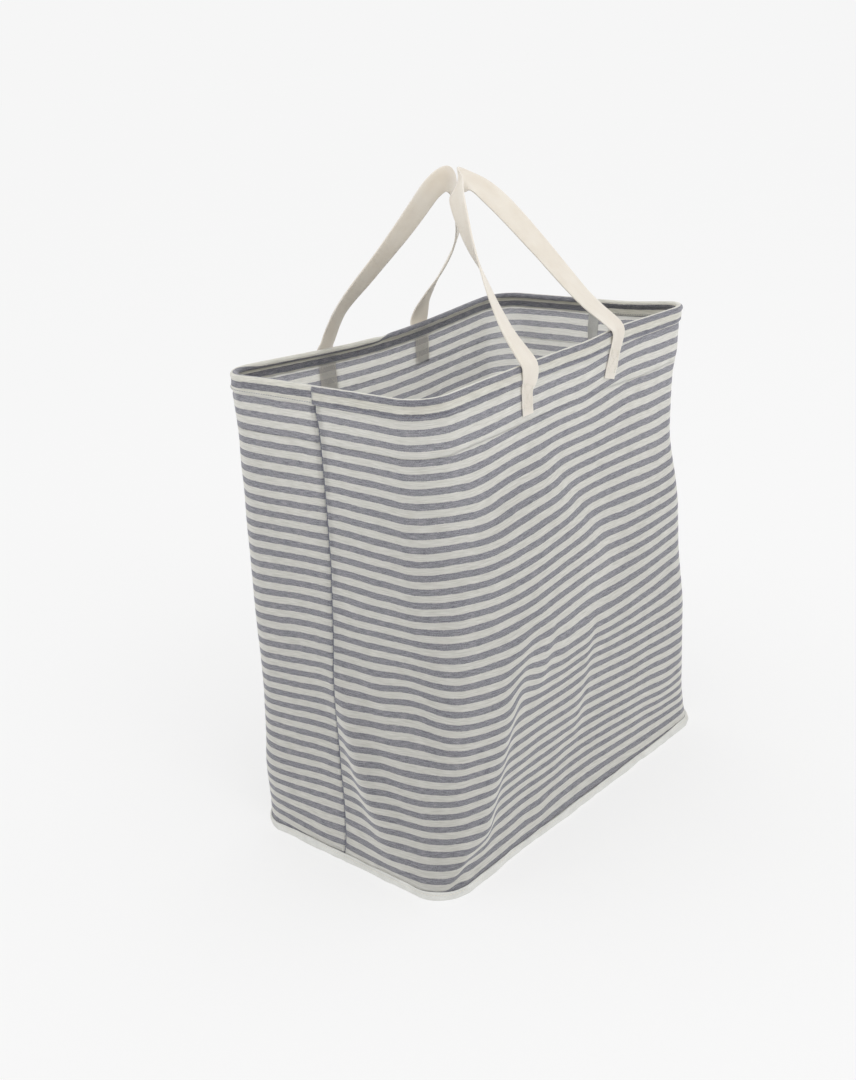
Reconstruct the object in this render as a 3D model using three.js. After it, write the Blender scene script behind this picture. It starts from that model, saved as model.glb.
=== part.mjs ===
// Laundry bag: a tall rectangular bag of striped cloth, held open by a wire in its rim
// and carried by two webbing handles. Millimetres, +Z up, origin under the middle of the
// base. X runs along the long sides; the front is the side that faces -Y.
import * as THREE from 'three';

// The bag
const bagHeight = 500; // floor to the top of the rim
const rimLength = 441; // outside the rolled rim
const rimWidth = 277;
const rimCornerRadius = 39;
const rimBow = 11; // how far each long side of the rim curves inward
const baseLength = 458;
const baseWidth = 262;
const baseCornerRadius = 36;
const baseThickness = 2.4; // two plies and a coating
const clothThickness = 1.2;
const waistDepth = 2.5; // the walls draw in below the rim
const waistSkew = 3; // a higher power moves the waist up
const bellyDepth = 12; // each long wall swells out, most on its left as it is faced
const bellyShift = 97; // from the middle of the wall
const bellyZ = 250;
const bellyReach = 110; // along the wall
const bellyRise = 140; // up and down it
const bellyEdgeShare = 0.08; // of its depth, where the swell is taken to have died away

// The rolled hem and the wire that it holds
const hemHeight = 17; // rim top to the hem's stitch line
const hemPlyThickness = 2.4; // the turned cloth under the roll
const wireDiameter = 3.2;
const wireEndGap = 1;
const ferruleLength = 22;
const ferruleWall = 0.45;
const ferruleClearance = 0.15; // between the wire and the sleeve crimped on it
const rollWall = 1.2;

// The binding round the base and the tape over each inside seam
const bindingHeight = 11;
const bindingThickness = 2;
const bindingLip = 7.5; // how far it stands out at the floor
const bindingLipHeight = 2.5;
const seamTapeWidth = 14;
const seamTapeThickness = 1.6;

// The handles
const strapWidth = 25;
const strapThickness = 2;
const handleSpan = 148; // between the middles of a handle's two legs
const handleShift = 8; // each handle sits this far to the right on its own wall
const handleReach = 203; // hinge line to the middle of the webbing at the top
const handleSway = 16; // the loops lean this far to the left, towards each other
const handleEndLength = 46; // the sewn end below the rim
const handleTopGap = 1; // between the two handles where they lean together
const stitchBoxWidth = 18;
const stitchBoxHeight = 22;
const stitchBoxDrop = 18; // top of the sewn end to the top of its box of stitches
const threadWidth = 1.2;
const threadThickness = 0.5;

const clearance = 0.3; // between pieces that touch

// The handle's leg, from the rim up: across as a share of half the span, up as a share of
// the reach. It stays wide at first and closes in a round top.
const legAcrossShare = [1, 0.97, 0.92, 0.86, 0.79, 0.71, 0.62, 0.51, 0.37, 0.21, 0];
const legUpShare = [0, 0.12, 0.22, 0.33, 0.44, 0.55, 0.65, 0.75, 0.86, 0.95, 1];
const swayTurnShare = 0.7; // of half a turn: the sway is widest below the top

// Heights up the walls at which their outline is drawn, as shares of the wall
const wallStationShare = [0, 0.12, 0.27, 0.42, 0.56, 0.68, 0.79, 0.9, 1];

// Facets
const cornerSteps = 6;
const longSideSteps = 12;
const halfShortSideSteps = 2;
const roundSides = 10;
const loopSteps = 44;
const leanRounds = 12;

const wallBottom = baseThickness + clearance;
const hemBottom = bagHeight - hemHeight;
const wallTop = hemBottom - clearance;
const wireRadius = wireDiameter / 2;
const ferruleBoreRadius = wireRadius + ferruleClearance;
const ferruleRadius = ferruleBoreRadius + ferruleWall;
const rollBoreRadius = ferruleRadius + clearance;
const rollRadius = rollBoreRadius + rollWall;
const rollZ = bagHeight - rollRadius;

const clothBlue = new THREE.Color(0.66, 0.66, 0.68);
const paint = {
  cloth: { color: clothBlue, roughness: 0.92, metalness: 0 },
  hem: { color: new THREE.Color(0.56, 0.57, 0.62), roughness: 0.92, metalness: 0 },
  webbing: { color: new THREE.Color(0.85, 0.8, 0.72), roughness: 0.88, metalness: 0 },
  tape: { color: new THREE.Color(0.84, 0.84, 0.82), roughness: 0.85, metalness: 0 },
  thread: { color: new THREE.Color(0.93, 0.91, 0.85), roughness: 0.7, metalness: 0 },
  steel: { color: new THREE.Color(0.62, 0.63, 0.64), roughness: 0.35, metalness: 1 },
};

const bag = new THREE.Group();

function addPiece(name, geometry, finish, turn = 0) {
  const mesh = new THREE.Mesh(geometry, new THREE.MeshStandardMaterial(paint[finish]));
  mesh.name = name;
  mesh.rotation.z = turn;
  bag.add(mesh);
}

// The walls' plan at a share of their height: waisted, and bowed more towards the rim.
function planAtShare(share) {
  const waist = waistDepth * Math.sin(Math.PI * share ** waistSkew);
  return {
    length: THREE.MathUtils.lerp(baseLength, rimLength, share) - 2 * waist,
    width: THREE.MathUtils.lerp(baseWidth, rimWidth, share) - 2 * waist,
    radius: THREE.MathUtils.lerp(baseCornerRadius, rimCornerRadius, share),
    bow: rimBow * share,
    belly: bellyDepth * swellShare((share * hemBottom - bellyZ) / bellyRise),
  };
}

// A round swell, all of it at its middle and none from its edge on. The distance from the
// middle is in reaches.
function swellShare(distance) {
  const share = (Math.exp(-(distance ** 2)) - bellyEdgeShare) / (1 - bellyEdgeShare);
  return Math.max(share, 0);
}

// The plan at a height, in line between the stations and straight up the hem.
function planAt(z) {
  const share = THREE.MathUtils.clamp(z / hemBottom, 0, 1);
  const above = Math.max(wallStationShare.findIndex((station) => station >= share), 1);
  const [from, to] = [wallStationShare[above - 1], wallStationShare[above]];
  const [low, high] = [planAtShare(from), planAtShare(to)];
  const part = (share - from) / (to - from);
  const plan = {};
  for (const size of Object.keys(low)) {
    plan[size] = THREE.MathUtils.lerp(low[size], high[size], part);
  }
  return plan;
}

// The heights at which a piece that lies on the wall has to bend.
function heightsBetween(bottom, top) {
  const stations = wallStationShare.map((share) => share * hemBottom);
  return [bottom, ...stations.filter((z) => z > bottom && z < top), top];
}

// How far a long side has curved inward at x: all of its bow in the middle, none at the ends.
function bowAt(x, plan, inset) {
  const share = Math.min(Math.abs(x) / (plan.length / 2 - inset), 1);
  return plan.bow * Math.cos((Math.PI / 2) * share);
}

// How far the back wall's belly pushes out a point of its plan. side is how far the point is
// from the long side's own line, which grows as the outline turns the corner.
function bellyAt(x, side, plan) {
  return plan.belly * swellShare(Math.hypot(x - bellyShift, side) / bellyReach);
}

// The back wall's outside line in plan at a given x, moved inward by inset.
function backLineY(x, inset, z) {
  const plan = planAt(z);
  return plan.width / 2 - inset - bowAt(x, plan, inset) + bellyAt(x, 0, plan);
}

// Half of the plan outline, from the middle of the +X side by way of the back wall to the
// middle of the -X side, moved inward by inset. startY keeps it off the side seams. Each
// point has the angle at which the wall faces there, and is pushed out along it.
function backOutline(inset, z, startY) {
  const plan = planAt(z);
  const halfLength = plan.length / 2 - inset;
  const halfWidth = plan.width / 2 - inset;
  const radius = plan.radius - inset;
  const straightX = halfLength - radius;
  const straightY = halfWidth - radius;
  const quarter = [];
  for (let i = 0; i < halfShortSideSteps; i += 1) {
    const share = i / halfShortSideSteps;
    quarter.push([halfLength, THREE.MathUtils.lerp(startY, straightY, share), 0]);
  }
  for (let i = 0; i < cornerSteps; i += 1) {
    const angle = (Math.PI / 2) * (i / cornerSteps);
    const x = straightX + radius * Math.cos(angle);
    quarter.push([x, straightY + radius * Math.sin(angle), angle]);
  }
  const half = [...quarter];
  for (let i = 0; i <= longSideSteps; i += 1) {
    const share = i / longSideSteps;
    half.push([THREE.MathUtils.lerp(straightX, -straightX, share), halfWidth, Math.PI / 2]);
  }
  for (const [x, y, angle] of quarter.reverse()) {
    half.push([-x, y, Math.PI - angle]);
  }
  return half.map(([x, y, angle]) => {
    const belly = bellyAt(x, halfWidth - y, plan);
    const outX = x + belly * Math.cos(angle);
    return new THREE.Vector3(outX, y - bowAt(x, plan, inset) + belly * Math.sin(angle), z);
  });
}

// The whole outline, from the middle of the back wall round to it again, with a gap there.
function ringWithGap(inset, z, gap) {
  const back = backOutline(inset, z, 0);
  const middle = (back.length - 1) / 2;
  const turned = back.map((p) => new THREE.Vector3(-p.x, -p.y, p.z));
  const ring = [...back.slice(middle + 1, -1), ...turned.slice(0, -1), ...back.slice(0, middle)];
  const end = new THREE.Vector3(-gap / 2, back[middle].y, z);
  return [end, ...ring, new THREE.Vector3(gap / 2, end.y, z)];
}

function closedOutline(inset, z) {
  const back = backOutline(inset, z, 0);
  const turned = back.map((p) => new THREE.Vector3(-p.x, -p.y, p.z));
  return [...back.slice(0, -1), ...turned.slice(0, -1)];
}

// A solid swept along a path. Each loop of the section is a list of [inset, z], the first
// one the outside and any more of them bores; rowAt gives a section point's path.
function sweptSolid(loops, rowAt, closed) {
  const corners = [];
  const triangles = [];
  const starts = [];
  let rowLength = 0;
  for (const loop of loops) {
    starts.push(corners.length);
    for (const [inset, z] of loop) {
      const row = rowAt(inset, z);
      rowLength = row.length;
      corners.push(...row);
    }
  }
  const spans = closed ? rowLength : rowLength - 1;
  loops.forEach((loop, n) => {
    for (let i = 0; i < loop.length; i += 1) {
      const a = starts[n] + i * rowLength;
      const b = starts[n] + ((i + 1) % loop.length) * rowLength;
      for (let j = 0; j < spans; j += 1) {
        const next = (j + 1) % rowLength;
        triangles.push(a + j, b + j, b + next, a + j, b + next, a + next);
      }
    }
  });
  if (!closed) {
    const rows = loops.flatMap((loop, n) => loop.map((_, i) => starts[n] + i * rowLength));
    const last = rowLength - 1;
    for (const [p, q, r] of capFaces(loops)) {
      triangles.push(rows[p], rows[r], rows[q]);
      triangles.push(rows[p] + last, rows[q] + last, rows[r] + last);
    }
  }
  return faceOutward(corners, triangles);
}

// The faces that close a section. A plain loop is closed by rungs between its two sides,
// so that points in line with their neighbours keep their place; one with a bore is cut up.
function capFaces(loops) {
  if (loops.length > 1) {
    const flat = loops.map((loop) => loop.map(([inset, z]) => new THREE.Vector2(inset, z)));
    return THREE.ShapeUtils.triangulateShape(flat[0], flat.slice(1));
  }
  const faces = [];
  const final = loops[0].length - 1;
  for (let i = 0; i < (final - 1) / 2; i += 1) {
    faces.push([i, i + 1, final - i - 1], [i, final - i - 1, final - i]);
  }
  return faces;
}

// Makes the geometry, with its faces turned outward.
function faceOutward(corners, triangles) {
  let volume = 0;
  for (let i = 0; i < triangles.length; i += 3) {
    const [a, b, c] = [0, 1, 2].map((k) => corners[triangles[i + k]]);
    volume += a.dot(new THREE.Vector3().crossVectors(b, c));
  }
  if (volume < 0) {
    triangles.reverse();
  }
  const geometry = new THREE.BufferGeometry().setFromPoints(corners);
  geometry.setIndex(triangles);
  return geometry;
}

function circleLoop(centreInset, centreZ, radius, direction = 1) {
  const loop = [];
  for (let i = 0; i < roundSides; i += 1) {
    const angle = (2 * Math.PI * i * direction) / roundSides;
    loop.push([centreInset + radius * Math.cos(angle), centreZ + radius * Math.sin(angle)]);
  }
  return loop;
}

// A sheet's section: up its outside at the wall's stations and down its inside.
function sheetLoop(outerInset, thickness, bottom, top) {
  const heights = heightsBetween(bottom, top);
  const outside = heights.map((z) => [outerInset, z]);
  const inside = heights.reverse().map((z) => [outerInset + thickness, z]);
  return [...outside, ...inside];
}

function panel() {
  const section = sheetLoop(0, clothThickness, wallBottom, wallTop);
  return sweptSolid([section], (inset, z) => backOutline(inset, z, clearance / 2), false);
}

// The hem is a roll with the wire's bore in it, over a short stand of turned cloth. Its
// outside is flush with the wall.
function hem() {
  const standTop = rollZ - rollRadius * Math.sin(Math.PI / 3);
  const outside = [];
  for (let i = 0; i < roundSides; i += 1) {
    const angle = THREE.MathUtils.lerp(-Math.PI / 6, Math.PI, i / (roundSides - 1));
    outside.push([rollRadius + rollRadius * Math.cos(angle), rollZ + rollRadius * Math.sin(angle)]);
  }
  outside.push([0, hemBottom], [hemPlyThickness, hemBottom], [hemPlyThickness, standTop]);
  const bore = circleLoop(rollRadius, rollZ, rollBoreRadius, -1);
  return sweptSolid([outside, bore], (inset, z) => backOutline(inset, z, clearance / 2), false);
}

function rimWire() {
  const section = circleLoop(rollRadius, rollZ, wireRadius);
  return sweptSolid([section], (inset, z) => ringWithGap(inset, z, wireEndGap), false);
}

// The sleeve that joins the wire's ends, at the middle of the back rim.
function wireFerrule() {
  const half = ferruleLength / 2;
  const profile = [
    new THREE.Vector2(ferruleBoreRadius, -half),
    new THREE.Vector2(ferruleRadius, -half),
    new THREE.Vector2(ferruleRadius, half),
    new THREE.Vector2(ferruleBoreRadius, half),
    new THREE.Vector2(ferruleBoreRadius, -half),
  ];
  const sleeve = new THREE.LatheGeometry(profile, roundSides * 2);
  sleeve.rotateZ(Math.PI / 2);
  sleeve.translate(0, backLineY(0, rollRadius, rollZ), rollZ);
  return sleeve;
}

// A tape sewn flat over a side seam, inside the bag.
function seamTape() {
  const inset = clothThickness + clearance;
  const section = sheetLoop(inset, seamTapeThickness, wallBottom, wallTop);
  return sweptSolid(
    [section],
    (insetHere, z) => {
      const x = planAt(z).length / 2 - insetHere;
      return [-1, 1].map((side) => new THREE.Vector3(x, (side * seamTapeWidth) / 2, z));
    },
    false,
  );
}

function basePanel() {
  const rim = closedOutline(0, 0).map((p) => new THREE.Vector2(p.x, p.y));
  const outline = new THREE.Shape(rim);
  return new THREE.ExtrudeGeometry(outline, { depth: baseThickness, bevelEnabled: false });
}

// The binding wraps the seam between base and walls and flares to a lip at the floor.
function baseBinding() {
  const section = [
    [-clearance, 0],
    [-clearance - bindingLip, 0],
    [-clearance - bindingLip, bindingLipHeight],
    [-clearance - bindingThickness, bindingHeight],
    [-clearance, bindingHeight],
  ];
  return sweptSolid([section], closedOutline, true);
}

// A sewn end of a handle, on the outside of the back wall, its middle at x.
function handleEnd(middleX) {
  const top = handleHingeZ - strapThickness / 2 + clearance;
  const section = sheetLoop(-clearance - strapThickness, strapThickness, top - handleEndLength, top);
  return sweptSolid(
    [section],
    (inset, z) => [-1, 0, 1].map((side) => {
      const x = middleX + (side * strapWidth) / 2;
      return new THREE.Vector3(x, backLineY(x, inset, z), z);
    }),
    false,
  );
}

// The box of stitches with its cross, on a sewn end.
function boxStitch(middleX) {
  const half = stitchBoxWidth / 2;
  const top = handleHingeZ - stitchBoxDrop;
  const middleZ = top - stitchBoxHeight / 2;
  const halfHeight = stitchBoxHeight / 2;
  const frame = new THREE.Shape();
  frame.moveTo(-half, -halfHeight);
  frame.lineTo(half, -halfHeight);
  frame.lineTo(half, halfHeight);
  frame.lineTo(-half, halfHeight);
  frame.closePath();
  const slack = threadWidth / Math.SQRT2;
  const openHalf = half - threadWidth;
  const openHalfHeight = halfHeight - threadWidth;
  for (const side of [-1, 1]) {
    const across = new THREE.Path();
    across.moveTo(side * slack, 0);
    across.lineTo(side * openHalf, openHalfHeight - slack);
    across.lineTo(side * openHalf, -openHalfHeight + slack);
    across.closePath();
    const upright = new THREE.Path();
    upright.moveTo(0, side * slack);
    upright.lineTo(openHalf - slack, side * openHalfHeight);
    upright.lineTo(-openHalf + slack, side * openHalfHeight);
    upright.closePath();
    frame.holes.push(across, upright);
  }
  const stitches = new THREE.ExtrudeGeometry(frame, { depth: threadThickness, bevelEnabled: false });
  const places = stitches.getAttribute('position');
  for (let i = 0; i < places.count; i += 1) {
    const x = middleX - places.getX(i);
    const z = middleZ + places.getY(i);
    const outward = strapThickness + 2 * clearance + places.getZ(i);
    places.setXYZ(i, x, backLineY(x, -outward, z), z);
  }
  return stitches;
}

// The hinge line of a handle lies just outside the top of its sewn ends, so that the
// handle can lean in over the rim and fall outward past them.
const handleHingeZ = bagHeight - clothThickness;
const endX = handleSpan / 2;
const hingeOut = 2 * clearance + (3 * strapThickness) / 2;
const handleHingeY = backLineY(endX + handleShift, -hingeOut, bagHeight);

// The webbing at the top lies across the loop's plane, so the lean is the one that brings
// its inner edge to half the gap between the handles. Each round comes closer to it.
function handleLean() {
  let lean = 0;
  for (let round = 0; round < leanRounds; round += 1) {
    const depth = strapWidth * Math.cos(lean) + strapThickness * Math.sin(lean);
    lean = Math.asin((handleHingeY - (handleTopGap + depth) / 2) / handleReach);
  }
  return lean;
}

// The loop of a handle: flat webbing that lies against the wall's plane at the rim and has
// turned a quarter by the top, so that the hand takes it flat. Its two ends are cut level, in
// line with the hinge.
function handleLoop() {
  const lean = handleLean();
  const up = new THREE.Vector3(0, -Math.sin(lean), Math.cos(lean));
  const outward = new THREE.Vector3(0, Math.cos(lean), Math.sin(lean));
  const foot = new THREE.Vector3(-handleShift, handleHingeY, handleHingeZ);
  const legPoint = (i, side) => {
    const sway = handleSway * Math.sin(Math.PI * swayTurnShare * legUpShare[i]);
    const across = (side * legAcrossShare[i] * handleSpan) / 2;
    return new THREE.Vector2(across + sway, legUpShare[i] * handleReach);
  };
  const leg = legUpShare.map((_, i) => legPoint(i, 1));
  const otherLeg = legUpShare.map((_, i) => legPoint(i, -1)).slice(0, -1).reverse();
  const route = new THREE.SplineCurve([...leg, ...otherLeg]);
  const corners = [];
  const sides = [[-1, -1], [1, -1], [1, 1], [-1, 1]];
  const middles = [];
  for (let j = 0; j <= loopSteps; j += 1) {
    const share = j / loopSteps;
    middles.push({ at: route.getPointAt(share), along: route.getTangentAt(share), share });
  }
  for (const [wide, thick] of sides) {
    for (const { at, along, share } of middles) {
      const turn = (Math.PI / 2) * Math.sin(Math.PI * share) ** 2;
      const slope = share > 0 && share < 1 ? along : new THREE.Vector2(0, Math.sign(along.y));
      const inPlane = new THREE.Vector3(slope.y, 0, 0).addScaledVector(up, -slope.x);
      const across = inPlane.clone().multiplyScalar(Math.cos(turn));
      across.addScaledVector(outward, Math.sin(turn));
      const through = outward.clone().multiplyScalar(Math.cos(turn));
      through.addScaledVector(inPlane, -Math.sin(turn));
      const corner = foot.clone().addScaledVector(up, at.y);
      corner.x += at.x;
      corner.addScaledVector(across, (wide * strapWidth) / 2);
      corner.addScaledVector(through, (thick * strapThickness) / 2);
      corners.push(corner);
    }
  }
  return loftedStrap(corners, sides.length, loopSteps + 1);
}

// Joins equal rows of corners into a closed strap with flat ends.
function loftedStrap(corners, rows, rowLength) {
  const triangles = [];
  for (let i = 0; i < rows; i += 1) {
    const a = i * rowLength;
    const b = ((i + 1) % rows) * rowLength;
    for (let j = 0; j < rowLength - 1; j += 1) {
      triangles.push(a + j, b + j, b + j + 1, a + j, b + j + 1, a + j + 1);
    }
  }
  for (let i = 1; i < rows - 1; i += 1) {
    const last = rowLength - 1;
    triangles.push(0, (i + 1) * rowLength, i * rowLength);
    triangles.push(last, i * rowLength + last, (i + 1) * rowLength + last);
  }
  return faceOutward(corners, triangles);
}

addPiece('base_panel', basePanel(), 'cloth');
addPiece('base_binding', baseBinding(), 'tape');
addPiece('right_seam_tape', seamTape(), 'tape');
addPiece('left_seam_tape', seamTape(), 'tape', Math.PI);
addPiece('rim_wire', rimWire(), 'steel');
addPiece('wire_ferrule', wireFerrule(), 'steel');

// Every piece of the back half has a twin on the front, turned half round the bag.
for (const [side, turn] of [['back', 0], ['front', Math.PI]]) {
  addPiece(`${side}_panel`, panel(), 'cloth', turn);
  addPiece(`${side}_hem`, hem(), 'hem', turn);
  addPiece(`${side}_handle`, handleLoop(), 'webbing', turn);
  for (const [end, middleX] of [['left', endX - handleShift], ['right', -endX - handleShift]]) {
    addPiece(`${side}_handle_${end}_end`, handleEnd(middleX), 'webbing', turn);
    addPiece(`${side}_${end}_box_stitch`, boxStitch(middleX), 'thread', turn);
  }
}

export default bag;
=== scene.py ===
# A laundry bag of striped cloth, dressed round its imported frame.
# Sizes are in millimetres, and each mesh is turned to metres as it is made.
import math

import bpy
import numpy as np
from mathutils import Matrix, Vector


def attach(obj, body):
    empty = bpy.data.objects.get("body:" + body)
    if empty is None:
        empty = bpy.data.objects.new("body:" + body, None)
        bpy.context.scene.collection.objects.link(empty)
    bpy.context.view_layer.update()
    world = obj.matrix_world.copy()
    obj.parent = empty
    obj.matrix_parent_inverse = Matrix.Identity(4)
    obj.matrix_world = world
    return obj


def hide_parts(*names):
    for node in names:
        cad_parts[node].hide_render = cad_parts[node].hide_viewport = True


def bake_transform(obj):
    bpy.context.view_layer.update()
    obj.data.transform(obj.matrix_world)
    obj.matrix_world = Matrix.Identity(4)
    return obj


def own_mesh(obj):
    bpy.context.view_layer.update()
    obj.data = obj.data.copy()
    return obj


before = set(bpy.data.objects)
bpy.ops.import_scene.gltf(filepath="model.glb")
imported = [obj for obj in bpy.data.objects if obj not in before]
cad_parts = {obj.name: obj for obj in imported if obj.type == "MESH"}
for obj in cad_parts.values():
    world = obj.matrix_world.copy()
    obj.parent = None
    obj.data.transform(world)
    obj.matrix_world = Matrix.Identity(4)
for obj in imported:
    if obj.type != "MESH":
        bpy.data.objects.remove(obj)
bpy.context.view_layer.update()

mm = 0.001
halfTurn = math.pi
quarterTurn = math.pi / 2
sharpFrom = math.radians(60)     # edges turned more than this stay sharp

bag = {
    "rimLength": 441,
    "rimWidth": 277,
    "rimCorner": 39,
    "rimBow": 11.5,        # each long side of the rim curves in
    "backSag": 8,          # the back rim hangs a little in the middle
    "rightLift": 5,        # the front rim rises towards its right corner
    "baseLength": 458,
    "baseWidth": 262,
    "baseCorner": 31,
    "baseShift": (-4.6, 4.9),   # the base stands a little off the rim's middle
    "waist": 2.5,            # the walls draw in below the rim
    "waistSkew": 3,
    "hemBottom": 483,
    "wallBottom": 2.7,
    "clothThickness": 1.1,
    "clothStep": 3.0,      # how close the points of the cloth lie
    "seed": 7,
}

# Where the side seam lies off the middle of its wall, by height.
seamWander = {
    "height": (0, 20, 67, 137, 249, 330, 463, 500),
    "off": (3.9, 2, 2.1, 4.2, 2, -1.5, -0.5, 3.6),
}

sideRun = bag["rimWidth"] / 2 - bag["rimCorner"]
cornerRun = quarterTurn * bag["rimCorner"]
frontRun = bag["rimLength"] - 2 * bag["rimCorner"]
halfRound = 2 * sideRun + 2 * cornerRun + frontRun     # seam to seam along the rim
rimTop = 500.0


def eased(x, low, high):
    t = np.clip((x - low) / (high - low), 0, 1)
    return t * t * (3 - 2 * t)


def planAt(z):
    share = np.clip(z / bag["hemBottom"], 0, 1)
    waist = bag["waist"] * np.sin(halfTurn * share ** bag["waistSkew"])
    length = bag["baseLength"] + (bag["rimLength"] - bag["baseLength"]) * share - 2 * waist
    width = bag["baseWidth"] + (bag["rimWidth"] - bag["baseWidth"]) * share - 2 * waist
    corner = bag["baseCorner"] + (bag["rimCorner"] - bag["baseCorner"]) * share
    return length / 2, width / 2, corner, bag["rimBow"] * share, share


# A point on the smooth outline, s along the rim from the left seam (front positive).
def outline(s, z):
    back = s < 0
    along = np.where(back, s + halfRound, s)
    halfLength, halfWidth, corner, bow, share = planAt(z)
    straightX, straightY = halfLength - corner, halfWidth - corner
    seamY = np.interp(z, seamWander["height"], seamWander["off"])
    cuts = np.cumsum([0, sideRun, cornerRun, frontRun, cornerRun, sideRun])
    part = [np.clip((along - cuts[i]) / (cuts[i + 1] - cuts[i]), 0, 1) for i in range(5)]
    turnA, turnB = part[1] * quarterTurn, part[3] * quarterTurn
    y = seamY * (1 - part[0]) - straightY * part[0] - corner * np.sin(turnA)
    x = -straightX - corner * np.cos(turnA) + 2 * straightX * part[2] + corner * np.sin(turnB)
    y = y + corner * (1 - np.cos(turnB)) + (straightY - seamY) * part[4]
    x = np.where(along > cuts[1], x, -halfLength)
    y = y + bow * np.cos(quarterTurn * np.clip(np.abs(x) / halfLength, 0, 1))
    flip = np.where(back, -1, 1)
    return np.stack([
        x * flip + bag["baseShift"][0] * (1 - share),
        y * flip + bag["baseShift"][1] * (1 - share),
    ], -1)


def outwardAt(s, z):
    step = outline(s + 0.5, z) - outline(s - 0.5, z)
    out = np.stack([step[..., 1], -step[..., 0]], -1)
    return out / np.linalg.norm(out, axis=-1, keepdims=True)


knots = {"count": (97, 61), "shift": (40.3, 5.7)}


# Slow unevenness from a fixed net of random heights, smooth between its knots.
def unevenness(s, z, cellS, cellZ, seed):
    columns, rows = knots["count"]
    net = np.random.default_rng(bag["seed"] + seed).uniform(-1, 1, (columns, rows))
    u, w = s / cellS + knots["shift"][0], z / cellZ + knots["shift"][1]
    i, j = np.floor(u).astype(int), np.floor(w).astype(int)
    p, q = eased(u - i, 0, 1), eased(w - j, 0, 1)
    knot = lambda a, b: net[(i + a) % columns, (j + b) % rows]
    return ((knot(0, 0) * (1 - p) + knot(1, 0) * p) * (1 - q)
            + (knot(0, 1) * (1 - p) + knot(1, 1) * p) * q)


# The foot of the walls spreads out to the binding, and dies away within a fall above it.
foot = {
    "spot": (-halfRound, -300, -127, -50, 60, 137, 200, 240, 300, 450, 535, 565, halfRound),
    "out": (6, 6, 6.5, 6.5, 6.5, 6, 4.5, 3, 4.5, 5.2, 4.5, 4.5, 6),
    "fall": (40, 40, 60, 50, 45, 45, 40, 30, 30, 30, 16, 16, 40),
}
# Two corners stand out or in, by height, hem and all.
cornerLines = {
    "backLeft": {
        "spot": -127, "reach": 40,
        "height": (0, 20, 45, 80, 100, 160, 200, 240, 320, 400, 430, 500),
        "out": (0, 1.8, 1.9, 2.3, 1.3, 0.5, 0.8, 2, 4, 4, 3, 2.5)},
    "frontRight": {
        "spot": 547, "reach": 60,
        "height": (0, 20, 45, 160, 220, 280, 320, 360, 400, 430, 455, 483, 496),
        "out": (0, -1.7, -2.2, -2, -4, -5, -9, -12, -12, -11, -7, -6, -2.5)},
}


def formOut(s, z):
    fall = np.interp(s, foot["spot"], foot["fall"])
    out = np.interp(s, foot["spot"], foot["out"]) * np.exp(-z / fall)
    for line in cornerLines.values():
        off = (s - line["spot"] + halfRound) % (2 * halfRound) - halfRound
        out = out + np.interp(z, line["height"], line["out"]) * np.exp(-(off / line["reach"]) ** 2)
    return out


# Broad swells of the cloth: where, how far it reaches, its slant in degrees, and how far
# the cloth stands out and has sagged there.
frontSwells = {
    "belly": (245, 250, 110, 140, 0, 12, 0),
    "middleSag": (235, 300, 85, 90, 0, 0, 9),
    "lowSag": (225, 185, 75, 70, 0, 0, 7),
    "lowPit": (178, 165, 26, 60, 0, 0, 2.5),
    "foldRise": (236, 192, 18, 32, 0, 0, -8.5),
    "upperSag": (195, 385, 40, 60, 0, 0, 6),
    "footRise": (330, 40, 170, 45, 0, 0, -9),
    "cornerFoot": (170, 45, 30, 20, 0, 0, 3.5),
    "rimRise": (520, 470, 150, 70, 0, 0, -7.5),
    "rightSag": (500, 130, 100, 80, 0, 0, 16),
    "rightMiddle": (400, 210, 110, 50, 0, 0, 9.5),
    "rightHip": (430, 290, 60, 45, 0, 0, 5.5),
    "cornerRise": (105, 205, 40, 80, 0, 0, -10),
    "cornerMiddle": (145, 290, 35, 40, 0, 0, -3),
    "cornerLow": (92, 110, 38, 60, 0, 0, 4.5),
    "cornerDent": (112, 150, 30, 110, 0, -6, 0),
    "leftFoot": (60, 20, 80, 25, 0, 0, 3.5),
    "seamRidge": (36, 115, 18, 80, 18, 12, 0),
    "lowNotch": (350, 195, 70, 22, 0, 0, 4.5),
    "underRim": (250, 455, 300, 40, 0, 0, 1.5),
    "rightEdge": (558, 90, 22, 80, 0, 0, 4),
    "rightFoot": (505, 72, 55, 38, 0, 0, 6),
    "foldSide": (305, 180, 34, 45, 0, 0, 4),
    "rightBelow": (415, 155, 42, 60, 0, 0, 2),
    "rightUpper": (508, 315, 42, 65, 0, 0, 4.5),
    "tabSide": (448, 440, 38, 40, 0, 0, -3),
    "rightHollow": (470, 105, 35, 40, 0, 0, -3.5),
    "rightToe": (505, 60, 40, 25, 0, 0, 3),
    "cornerUpper": (150, 345, 30, 40, 0, 0, -2.5),
    "footNotch": (268, 30, 14, 14, 0, 0, 2.5),
}
backSwells = {
    "leftSag": (-112, 200, 75, 120, 0, 1.5, 11),
    "leftTop": (-70, 380, 60, 70, 0, 0, 3.5),
    "leftFoot": (-30, 20, 60, 30, 0, 0, 8),
    "seamFoot": (-85, 70, 40, 40, 0, 4, 3),
    "backSagLeft": (-235, 300, 80, 90, 0, 3, 9),
    "backSagRight": (-440, 250, 110, 140, 0, 12, 8),
    "backFoot": (-360, 40, 180, 45, 0, 0, -7),
}
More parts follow.
